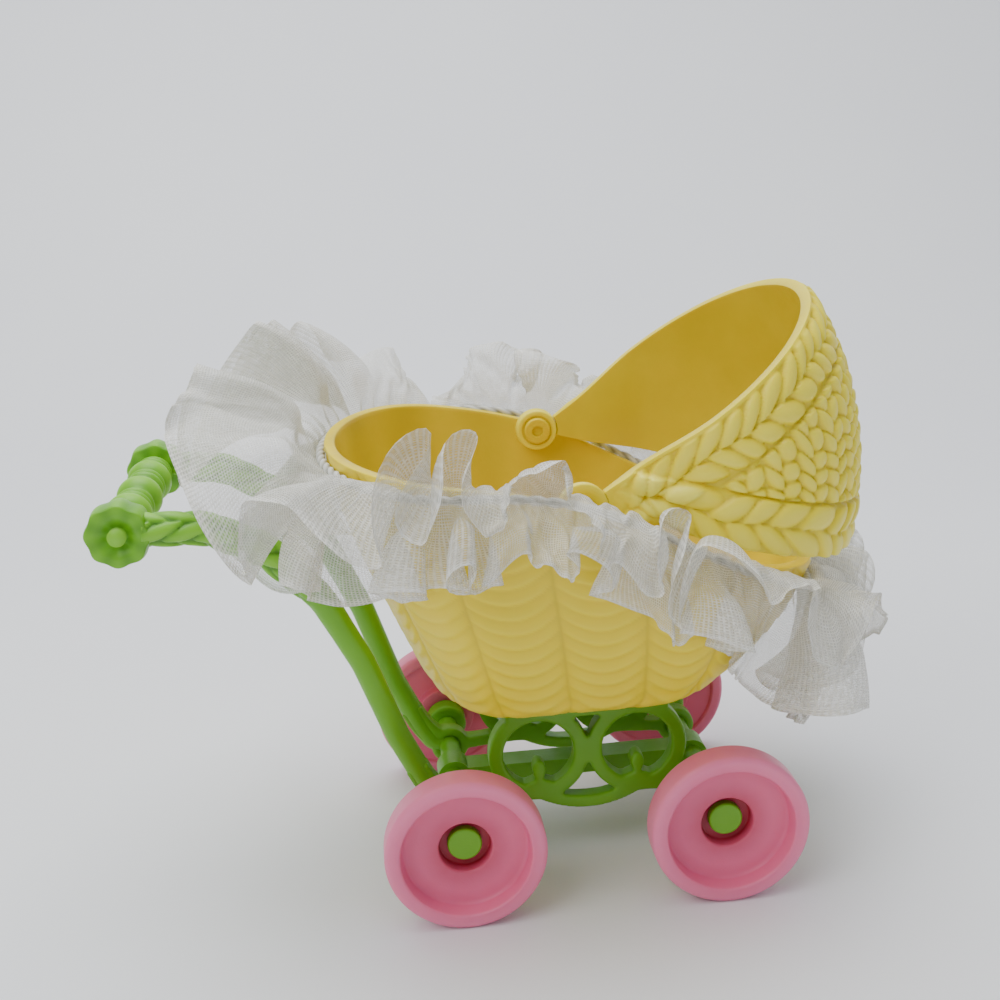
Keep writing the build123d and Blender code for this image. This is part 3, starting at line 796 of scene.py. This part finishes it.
def arm_line(side):
    """The line down the middle of an arm, in mm: corners (x, height, bend) rounded by a bevel."""
    low = ARM_FOOT + Vector((-cos(FOOT_SLOPE), 0, sin(FOOT_SLOPE))) * 7.0
    bm = bmesh.new()
    corners = []
    for across, height, bend in BENDS:
        x = mix(HANDLE.x + 3.5, low.x, across)
        z = mix(low.z, HANDLE.z + 0.3, height)
        y = mix(ARM_FOOT.y, HANDLE_SIDE, 1 - across**1.3)
        corners.append((bm.verts.new((x, side * y, z)), bend))
    for x, z, bend in AXLE_BENDS:
        corners.append((bm.verts.new((x, side * ARM_FOOT.y, z)), bend))
    for (first, _), (second, _) in zip(corners, corners[1:]):
        bm.edges.new((first, second))
    for vert, bend in corners:
        if bend:
            arms = [edge.other_vert(vert).co - vert.co for edge in vert.link_edges]
            half = (pi - arms[0].angle(arms[1])) / 2
            bmesh.ops.bevel(bm, geom=[vert], offset=bend * np.tan(half), offset_type="OFFSET", segments=8,
                            profile=0.5, material=-1, affect="VERTICES")
    points, length = points_in_order(bm)
    bm.free()
    return points, length


# %% Plaited skin of the arms
ARM_SHARES = (0, 0.3, 0.5, 0.85, 1.0)
ARM_RADII = (2.6, 2.6, 2.25, 2.15, 2.0)
PLAIT_ENDS = (34.0, 27.0)  # the plait fades out between these, in mm from the handle
STRAND_PITCH = 5.0
STRAND_LEAN = 1.15
STRAND_HEIGHT = 0.85
STRAND_SUNK = 0.4


def wound(u, v, points, length, size):
    """Points of a tube round a line: u goes round it, v along it, size is its radius."""
    at = v * length[-1]
    centre, ahead, behind = (
        np.stack([np.interp(at + step, length, points[:, axis]) for axis in range(3)], 1)
        for step in (0.0, 0.4, -0.4))
    along = ahead - behind
    along /= np.linalg.norm(along, axis=1)[:, None]
    flat = np.cross((0.0, 1.0, 0.0), along)
    flat /= np.linalg.norm(flat, axis=1)[:, None]
    other = np.cross(along, flat)
    turn_at = 2 * pi * u[:, None]
    return centre + (flat * np.cos(turn_at) + other * np.sin(turn_at)) * size[:, None]


def make_arm(side_name, side):
    points, length = arm_line(side)

    def skin(u, v):
        at = v * length[-1]
        plaited = step_up(*PLAIT_ENDS, at)
        crown = plait(2 * ((2 * u + 0.25) % 1) - 1, at, STRAND_PITCH, STRAND_LEAN)
        size = np.interp(v, ARM_SHARES, ARM_RADII) + plaited * (STRAND_HEIGHT * crown - STRAND_SUNK)
        rounded_end = np.sqrt(1 - np.clip((v - 0.995) / 0.005, 0, 1) ** 2)
        # relief paints light on the strand crowns and shade between the strands
        relief = mix(0.5, np.clip(crown, 0.1, 0.9), plaited)
        return wound(u, v, points, length, size * rounded_end) * MM, relief

    bm = bmesh.new()
    laid_grid(bm, 60, 300, skin, closed=True)
    bmesh.ops.holes_fill(bm, edges=[edge for edge in bm.edges if edge.is_boundary], sides=0)
    bmesh.ops.recalc_face_normals(bm, faces=bm.faces)
    return finished(f"plaited_arm_{side_name}", bm, green)


# %% Flowers
PETALS = 8
FLOWER_RADIUS = 4.85
PETAL_REACH = 0.4
FLOWER_FACE = 23.2         # from the middle of the toy, in mm
FLOWER_DEPTH = 5.2
FACE_PART = 0.42           # of the grid, from the nub to the rim
RIM_PART = 0.16            # of the grid, over the rim; the back takes the rest


def make_flower(side_name, side):
    """The scalloped end of an arm: a polar grid with petals and a hollow face."""
    def skin(u, v):
        petal = 0.5 + 0.5 * np.cos(2 * pi * PETALS * u + 0.6)
        edge = FLOWER_RADIUS + PETAL_REACH * petal
        face = np.clip(v / FACE_PART, 0, 1)
        rim = np.clip((v - FACE_PART) / RIM_PART, 0, 1)
        back = np.clip((v - FACE_PART - RIM_PART) / (1 - FACE_PART - RIM_PART), 0, 1)
        r = (edge + 0.25 * np.sin(pi * rim)) * face * (1 - back)
        hollow = 1 - step_up(0.25, 0.75, face)
        nub = 0.75 * (1 - step_up(0.0, 0.34, face))
        y = FLOWER_FACE - hollow + nub - FLOWER_DEPTH * rim
        turn_at = 2 * pi * u
        points = np.stack([HANDLE.x + r * np.cos(turn_at), y * side, HANDLE.z + r * np.sin(turn_at)], 1)
        # relief: painted shade in the hollow face and between the petals, painted light on the petals
        return points * MM, 0.3 + 0.35 * petal * face

    bm = bmesh.new()
    laid_grid(bm, 96, 60, skin, closed=True)
    bmesh.ops.recalc_face_normals(bm, faces=bm.faces)
    flower = finished(f"flower_{side_name}", bm, green)
    flower.modifiers.new("soften", "SMOOTH").iterations = 2
    return flower


# %% Two arms and flowers
for side, sign in (("left", 1), ("right", -1)):
    arm = make_arm(side, sign)
    flower = make_flower(side, sign)
    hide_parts(f"handle_arm_{side}")
    for piece in (arm, flower):
        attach(piece, "chassis")
        print(piece.name, "faces", len(piece.data.polygons))


# %% Handle bar
BAR_RADIUS = 2.7           # all in mm
BEADS = (0.0, 11.16)       # places of the beads and rings from the bar's middle
BEAD_HALF, BEAD_RADIUS = 3.2, 4.0
RINGS = (5.4, 7.4, 15.0, 16.6)
RING_HALF, RING_HEIGHT = 0.75, 0.7
BAR_END = 18.0
STUB_RADIUS, STUB_END = 1.5, 23.5


def arch(y, middle, half):
    """Half of a circle's rise over a place, from 0 at its sides to 1 at its middle."""
    return np.sqrt(np.clip(1 - ((y - middle) / half) ** 2, 0, 1))


def bar_outline():
    """Radius of the bar along half of its length: beads, rings and the neck between them."""
    y = np.linspace(0, BAR_END, 73)
    radius = np.full_like(y, BAR_RADIUS)
    for bead in BEADS:
        radius = np.maximum(radius, BEAD_RADIUS * arch(y, bead, BEAD_HALF))
    for ring in RINGS:
        radius = np.maximum(radius, BAR_RADIUS + RING_HEIGHT * arch(y, ring, RING_HALF))
    return list(zip(radius, y))


def make_bar():
    bm = bmesh.new()
    level = bm.verts.layers.float.new("relief")
    half = bar_outline() + [(STUB_RADIUS, BAR_END), (STUB_RADIUS, STUB_END), (0.0, STUB_END)]
    line = [(radius, -y) for radius, y in half[:0:-1]] + half
    verts = []
    for radius, y in line:
        vert = bm.verts.new((HANDLE.x * MM + radius * MM, y * MM, HANDLE.z * MM))
        # relief: painted light on the beads and rings, painted shade along the thinner bar between them
        vert[level] = 0.9 if abs(y) > BAR_END else min(0.9, 0.2 + (radius - 2.4) * 0.4)
        verts.append(vert)
    for first, second in zip(verts, verts[1:]):
        bm.edges.new((first, second))
    bmesh.ops.spin(bm, geom=bm.verts[:] + bm.edges[:], cent=HANDLE * MM, axis=(0, 1, 0), angle=2 * pi,
                   steps=64, use_merge=True)
    bmesh.ops.remove_doubles(bm, verts=bm.verts, dist=1e-6)
    bmesh.ops.recalc_face_normals(bm, faces=bm.faces)
    return finished("beaded_bar", bm, green)


bar = make_bar()
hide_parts("handle_bar")
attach(bar, "chassis")
print("bar faces", len(bar.data.polygons))


# %% [markdown]
# ## Elastic
# The ruffle is held by a thin grey elastic, two covered strands twisted together, that goes
# right round the outside of the basket a little below the rim. It is a wound grid again,
# round a closed line, with two raised strands.

# %% Elastic line
ELASTIC_LIFT = 1.1         # from the basket's wall to the middle of the elastic
ELASTIC_X = (-60, -30, 0, 17, 30, 60)
ELASTIC_Z = (79.0, 78.2, 74.5, 66.0, 58.5, 43.0)


def elastic_points(share):
    """Points of the elastic, in mm, for shares of its length: it lies close on the basket."""
    turn_at = np.interp(share % 1.0, RIM_SHARES, RIM_TURNS)
    x = 0 * turn_at
    for _ in range(8):
        height = (eased(ELASTIC_X, ELASTIC_Z, x) - BASE_Z) / (TOP_Z - BASE_Z)
        x, y, z = basket_point(turn_at, height, -ELASTIC_LIFT, BASE_Z)
    return np.stack([x, y, z], -1)


def elastic_frame(share):
    """Place, direction along, and direction outwards of the elastic at each share."""
    here = elastic_points(share)
    along = elastic_points(share + 0.0008) - elastic_points(share - 0.0008)
    along /= np.linalg.norm(along, axis=-1)[:, None]
    out = np.stack([-along[:, 1], along[:, 0], 0 * along[:, 0]], -1)
    out /= np.linalg.norm(out, axis=-1)[:, None]
    return here, along, out


# %% Elastic material
def elastic_material():
    """Grey covered elastic with fine ribs across the strands: painted shade in the grooves between the
    strands, painted light on their crests.
    """
    material, tree, shader = new_material("grey_elastic")
    place = node(tree, "TexCoord").outputs["Object"]
    height = node(tree, "Attribute", attribute_name="relief").outputs["Fac"]
    # painted shade in the grooves between the strands, painted light on their crests
    shades = [(0.0, rgb(140, 136, 120)), (0.6, rgb(188, 187, 178)), (1.0, rgb(218, 218, 212))]
    shade = ramp(tree, height, shades)
    tree.links.new(shade, shader.inputs["Base Color"])
    fibre = node(tree, "TexNoise", {"Vector": place, "Scale": 4200.0, "Detail": 3.0})
    bump = node(tree, "Bump", {"Height": fibre.outputs["Fac"], "Strength": 0.5, "Distance": 0.0002})
    tree.links.new(bump.outputs["Normal"], shader.inputs["Normal"])
    rough = node(tree, "MapRange", {"Value": fibre.outputs["Fac"], "To Min": 0.35, "To Max": 0.65})
    tree.links.new(rough.outputs["Result"], shader.inputs["Roughness"])
    shader.inputs["Sheen Weight"].default_value = 0.3
    return material


# %% Elastic mesh
STRANDS = 2
TWISTS = 90                # crests along the loop
CORE, CREST = 0.45, 0.38   # radius between the strands, and their rise above it, in mm


def make_elastic():
    def skin(u, v):
        here, along, out = elastic_frame(v)
        rise = np.cross(out, along)
        crown = np.abs(np.cos(pi * (STRANDS * u + TWISTS * v)))
        size = CORE + CREST * crown
        turn_at = 2 * pi * u
        round_it = out * np.cos(turn_at)[:, None] + rise * np.sin(turn_at)[:, None]
        return (here + round_it * size[:, None]) * MM, crown

    bm = bmesh.new()
    laid_grid(bm, 16, 1100, skin, closed=True)
    bmesh.ops.recalc_face_normals(bm, faces=bm.faces)
    return finished("twisted_elastic", bm, elastic_material())


elastic = make_elastic()
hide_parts("ruffle_elastic")
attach(elastic, "chassis")
print("elastic faces", len(elastic.data.polygons))


# %% [markdown]
# ## Ruffle
# The ruffle is one long strip of stiff sparkling net, about twice as long as the elastic
# that gathers it along its middle. Close to the elastic it is packed in small pleats, which
# run together into bigger folds towards the raw edges. At the two ends of the pram the
# strip is wider and fans out in tufts. Folds could be modelled one by one, but cloth looks
# right only when it has fallen. So the strip starts as a grid with uneven waves, and the
# cloth solver then lets it settle on the basket and the hood.

# %% Net material
MESH_PITCH = 0.0004        # from thread to thread, in metres


def net_material():
    """Open net: warp and weft threads from the strip's own flat map, in metres."""
    material, tree, shader = new_material("white_net")
    flat = node(tree, "UVMap", uv_map="flat").outputs["UV"]
    split = node(tree, "SeparateXYZ", {"Vector": flat})
    threads = []
    for axis in ("X", "Y"):
        turn_at = sums(tree, "MULTIPLY", split.outputs[axis], 2 * pi / MESH_PITCH)
        wave = sums(tree, "COSINE", turn_at, 0.0)
        threads.append(node(tree, "MapRange", {"Value": wave, "From Min": -0.35, "From Max": 0.75}))
    weave = sums(tree, "MAXIMUM", threads[0].outputs["Result"], threads[1].outputs["Result"])
    crossing = sums(tree, "ADD", threads[0].outputs["Result"], threads[1].outputs["Result"])
    place = node(tree, "TexCoord").outputs["Object"]
    patches = node(tree, "TexNoise", {"Vector": place, "Scale": 160.0, "Detail": 3.0})
    hem = node(tree, "Attribute", attribute_name="relief").outputs["Fac"]
    cover = node(tree, "MapRange", {"Value": weave, "To Min": 0.27, "To Max": 0.72})
    cover = sums(tree, "ADD", cover.outputs["Result"],
                 sums(tree, "MULTIPLY", sums(tree, "SUBTRACT", patches.outputs["Fac"], 0.5), 0.25))
    cover = sums(tree, "ADD", cover, sums(tree, "MULTIPLY", hem, 0.45), clamp=True)
    tree.links.new(cover, shader.inputs["Alpha"])
    glitter = node(tree, "TexVoronoi", {"Vector": flat, "Scale": 2400.0}, feature="F1")
    spark = node(tree, "MapRange", {"Value": glitter.outputs["Distance"], "From Min": 0.1,
                                    "From Max": 0.45, "To Min": 0.18, "To Max": 0.6})
    tree.links.new(spark.outputs["Result"], shader.inputs["Roughness"])
    shade = ramp(tree, glitter.outputs["Color"], [(0.0, rgb(220, 217, 203)), (1.0, rgb(251, 250, 244))])
    tree.links.new(shade, shader.inputs["Base Color"])
    bump = node(tree, "Bump", {"Height": crossing, "Strength": 0.6, "Distance": 0.0001})
    tree.links.new(bump.outputs["Normal"], shader.inputs["Normal"])
    shader.inputs["Sheen Weight"].default_value = 0.25
    shader.inputs["Specular IOR Level"].default_value = 0.7
    return material


# %% Strip of net
GATHER = 2.05              # the strip's length, as a multiple of the elastic's
ACROSS = 28                # cells of the grid
ALONG = 560


def slow_wave(share, count, seed, amount):
    """A phase that runs at an uneven pace, so that no two folds are alike."""
    rng = np.random.default_rng(seed)
    phase = 2 * pi * count * share
    for turns_round in (3, 5, 8, 13):
        phase = phase + amount / turns_round**0.5 * np.sin(2 * pi * (turns_round * share + rng.random()))
    return phase


def drift(share, seed, turns_rounds=(2, 3, 5, 7, 11)):
    """A slow random line between -1 and 1 round the strip."""
    rng = np.random.default_rng(seed)
    line = 0 * share
    for turns_round in turns_rounds:
        line = line + rng.uniform(0.5, 1.0) * np.sin(2 * pi * (turns_round * share + rng.random()))
    return line / (0.6 * len(turns_rounds))


def parts_of(here):
    """How much a place belongs to the foot tuft, to the head tuft and to the left side."""
    return step_up(-22, -43, here[:, 0]), step_up(18, 44, here[:, 0]), step_up(-12, 24, here[:, 1])


def strip_widths(here):
    """Free width of the net above and below the elastic, in mm: it isn't held quite midway."""
    foot, head, left = parts_of(here)
    above = 12.0 + 13.5 * foot + 4.0 * head + 5.0 * left * (1 - foot)
    below = 15.0 + 7.0 * foot + 11.0 * head - 3.0 * left
    return above, below


# %% Lean and folds of the net
def lean_of(u, away, upper, here):
    """How far the net leans outwards from upright, above and below the elastic."""
    foot, head, left = parts_of(here)
    above = 15 + 12 * foot + 66 * head - 13 * left + 36 * away + 20 * drift(u, 53) * (0.4 + foot)
    below = 64 + 14 * foot - 10 * head - 34 * away + 30 * drift(u, 59) * (1 - 0.5 * foot)
    return np.radians(np.where(upper, above, below))


def folds_of(u, away, upper, distance, here):
    """The folds, in mm: swing across the net, shift along it, and a sway of its lean."""
    foot, head, _ = parts_of(here)
    beside_hood = step_up(-8, 4, here[:, 0]) * upper
    spread = step_up(0.8, 9.0, distance)
    pleat = slow_wave(u, 66, 3, 2.6)
    fold = np.where(upper, slow_wave(u, 16, 11, 4.6), slow_wave(u, 14, 29, 4.6))
    uneven = 1 + 0.38 * np.where(upper, drift(u, 41), drift(u, 43))
    pleat_size = mix(0.4, 1.0, step_up(0.3, 2.0, distance)) * (1 - 0.9 * spread)
    fold_size = spread * (1.4 + 4.5 * away) * uneven
    ripple = 0.6 * np.sin(slow_wave(u, 41, 71, 3.0))
    crumple = np.sin(slow_wave(u, 27, 83, 4.0) + 4.2 * away * (1 + drift(u, 61)))
    crumple_size = 0.4 + 1.3 * foot + 0.9 * head
    swing = pleat_size * np.sin(pleat) + fold_size * (np.sin(fold) + 0.85 * beside_hood)
    swing = swing + spread * away * (ripple + crumple_size * crumple)
    shift = -0.5 * fold_size * np.sin(2 * fold) - 0.3 * pleat_size * np.sin(2 * pleat)
    return swing, shift, 0.3 * spread * np.sin(fold + 0.7)


# %% Gathered start shape
SEAM = 0.8                 # from the middle of the elastic to the net, in mm


def ruffle_point(u, v):
    """A point of the net: u along the strip, v from the lower edge (0) to the upper (1)."""
    here, along, out = elastic_frame(u)
    above, below = strip_widths(here)
    upper = v >= 0.5
    side = np.where(upper, 1.0, -1.0)
    away = np.abs(2 * v - 1)
    distance = away * np.where(upper, above, below)
    swing, shift, sway = folds_of(u, away, upper, distance, here)
    lean = lean_of(u, away, upper, here) + sway
    face = np.stack([out[:, 0] * np.cos(lean), out[:, 1] * np.cos(lean), -side * np.sin(lean)], -1)
    point = here + out * (SEAM + distance * np.sin(lean))[:, None]
    point[:, 2] += distance * np.cos(lean) * side
    return point + face * swing[:, None] + along * shift[:, None]


# %% Keeping the net clear of the hood and basket
NET_GAP = 0.7              # all in mm
HOOD_PATH = 55.4           # the space that the hood turns through
HOOD_PATH_SIDE = 35.4
HOOD_PATH_LOWER = LOWER - radians(2.5)
SIDE_LIMIT, SIDE_ROOM = 43.0, 5.5
HEAD_LIMIT, HEAD_ROOM = 58.0, 7.0


def eased_off(distance, start, room):
    """A distance that slows down past its start and never goes further than the room left."""
    return np.where(distance > start, start + room * np.tanh((distance - start) / room), distance)


def out_of_basket(x, y, z):
    """Moves points that lie within the basket's wall out to its surface."""
    rear, front, width = basket_spans(np.clip((z - BASE_Z) / (TOP_Z - BASE_Z), 0, 1), -NET_GAP)
    rear_middle, front_middle = middles(rear, front)
    near_x = np.clip(x, rear_middle, front_middle)
    ahead = x - near_x
    reach = np.where(ahead > 0, front - near_x, near_x - rear)
    from_axis = np.hypot(ahead / reach, y / width)
    within = (z < rim_height(x) + 0.8) & (from_axis < 1.0) & (from_axis > 0.5)
    push = np.where(within, 1.0 / np.maximum(from_axis, 0.5), 1.0)
    return near_x + ahead * push, y * push, z


def out_of_hood_path(x, y, z):
    """Moves points sideways or down out of the space that the hood turns through."""
    from_pivot = np.hypot(x - PIVOT.x, z - PIVOT.z)
    angle = np.arctan2(z - PIVOT.z, x - PIVOT.x)
    swept = (from_pivot < HOOD_PATH) & (np.abs(y) < HOOD_PATH_SIDE)
    swept &= (angle > HOOD_PATH_LOWER) & (angle < radians(120))
    beside = swept & (np.abs(y) > 22)
    y = np.where(beside, np.sign(y) * (HOOD_PATH_SIDE + 0.1 * (HOOD_PATH_SIDE - np.abs(y))), y)
    lower_z = PIVOT.z + (x - PIVOT.x) * np.tan(HOOD_PATH_LOWER)
    return x, y, np.where(swept & ~beside, np.minimum(z, lower_z), z)


def keep_clear(points):
    """Points of the net, in mm, kept off the basket, out of the hood's path and within reach."""
    x, y, z = out_of_hood_path(*out_of_basket(*points.T))
    y = np.sign(y) * eased_off(np.abs(y), SIDE_LIMIT, SIDE_ROOM)
    return np.stack([eased_off(x, HEAD_LIMIT, HEAD_ROOM), y, z], 1)


# %% Letting the net settle
SETTLE_SCALE = 10.0


def plain_copy(name, across, along, place, closed):
    """A light copy of a surface for the net to rest on while it settles."""
    bm = bmesh.new()
    laid_grid(bm, across, along, place, closed)
    bmesh.ops.scale(bm, verts=bm.verts, vec=(SETTLE_SCALE,) * 3)
    bmesh.ops.recalc_face_normals(bm, faces=bm.faces)
    piece = finished(name, bm, yellow)
    piece.modifiers.new("touch", "COLLISION")
    piece.collision.thickness_outer = 0.006
    piece.collision.cloth_friction = 12
    return piece


def settle(piece, frames):
    """Lets a sheet pinned along its group 'held' fall into place, ten times life size."""
    piece.data.transform(Matrix.Scale(SETTLE_SCALE, 4))
    cloth = piece.modifiers.new("settle", "CLOTH")
    cloth.point_cache.frame_end = frames
    cloth.settings.quality = 6
    cloth.settings.mass = 0.08
    cloth.settings.tension_stiffness = 18
    cloth.settings.compression_stiffness = 18
    cloth.settings.shear_stiffness = 6
    cloth.settings.bending_stiffness = 4.0
    cloth.settings.air_damping = 1.5
    cloth.settings.vertex_group_mass = "held"
    cloth.collision_settings.distance_min = 0.008
    cloth.collision_settings.use_self_collision = True
    cloth.collision_settings.self_distance_min = 0.004
    cloth.collision_settings.collision_quality = 3
    scene.gravity = (0, 0, -9.81)
    for number in range(1, frames + 1):
        scene.frame_set(number)
    shape = piece.evaluated_get(bpy.context.evaluated_depsgraph_get()).data
    places = np.empty(3 * len(shape.vertices))
    shape.vertices.foreach_get("co", places)
    piece.modifiers.remove(cloth)
    scene.frame_set(1)
    return places.reshape(-1, 3) / SETTLE_SCALE / MM


# %% Ruffle mesh
HELD_BAND = 1.3            # the elastic holds the net this far each way, in mm
SETTLE_FRAMES = 14


def make_ruffle():
    """The strip of net as one grid, with its flat map; also its length, width and area, in mm."""
    bm = bmesh.new()
    flat = bm.loops.layers.uv.new("flat")
    level = bm.verts.layers.float.new("relief")
    bmesh.ops.create_grid(bm, x_segments=ALONG, y_segments=ACROSS, size=0.5)
    bm.verts.ensure_lookup_table()
    u = np.array([vert.co.x for vert in bm.verts]) + 0.5
    v = np.array([vert.co.y for vert in bm.verts]) + 0.5
    points = keep_clear(ruffle_point(u, v))
    above, below = strip_widths(elastic_points(u))
    across = np.where(v >= 0.5, (2 * v - 1) * above, (2 * v - 1) * below)
    round_basket = elastic_points(np.linspace(0, 1, 1001))
    elastic_length = np.linalg.norm(np.diff(round_basket, axis=0), axis=1).sum()
    strip_length = GATHER * elastic_length
    for index, vert in enumerate(bm.verts):
        vert.co = points[index] * MM
        vert[level] = 1.0 if abs(2 * v[index] - 1) > 0.99 else 0.0
        for loop in vert.link_loops:
            loop[flat].uv = (u[index] * strip_length * MM, across[index] * MM)
    piece = finished("net_ruffle", bm, net_material())
    held = piece.vertex_groups.new(name="held")
    held.add([int(i) for i in np.nonzero(np.abs(across) < HELD_BAND)[0]], 1.0, "REPLACE")
    rests = [plain_copy("rest_basket", 72, 18, basket_outside, True),
             plain_copy("rest_hood", 60, 14, hood_outside, False)]
    points = keep_clear(settle(piece, SETTLE_FRAMES))
    for rest in rests:
        bpy.data.objects.remove(rest)
    piece.vertex_groups.remove(held)
    piece.data.vertices.foreach_set("co", (points * MM).ravel())
    piece.data.update()
    rounder = piece.modifiers.new("rounder", "SUBSURF")
    rounder.levels = 1
    rounder.render_levels = 1
    area = float(np.mean(above + below)) * strip_length
    print("elastic length", round(elastic_length), "mm")
    return piece, strip_length, float(np.max(above + below)), area


ruffle, strip_length, strip_width, strip_area = make_ruffle()
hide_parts("ruffle")
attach(ruffle, "chassis")
print("ruffle faces", len(ruffle.data.polygons), "strip", round(strip_length), "mm long")
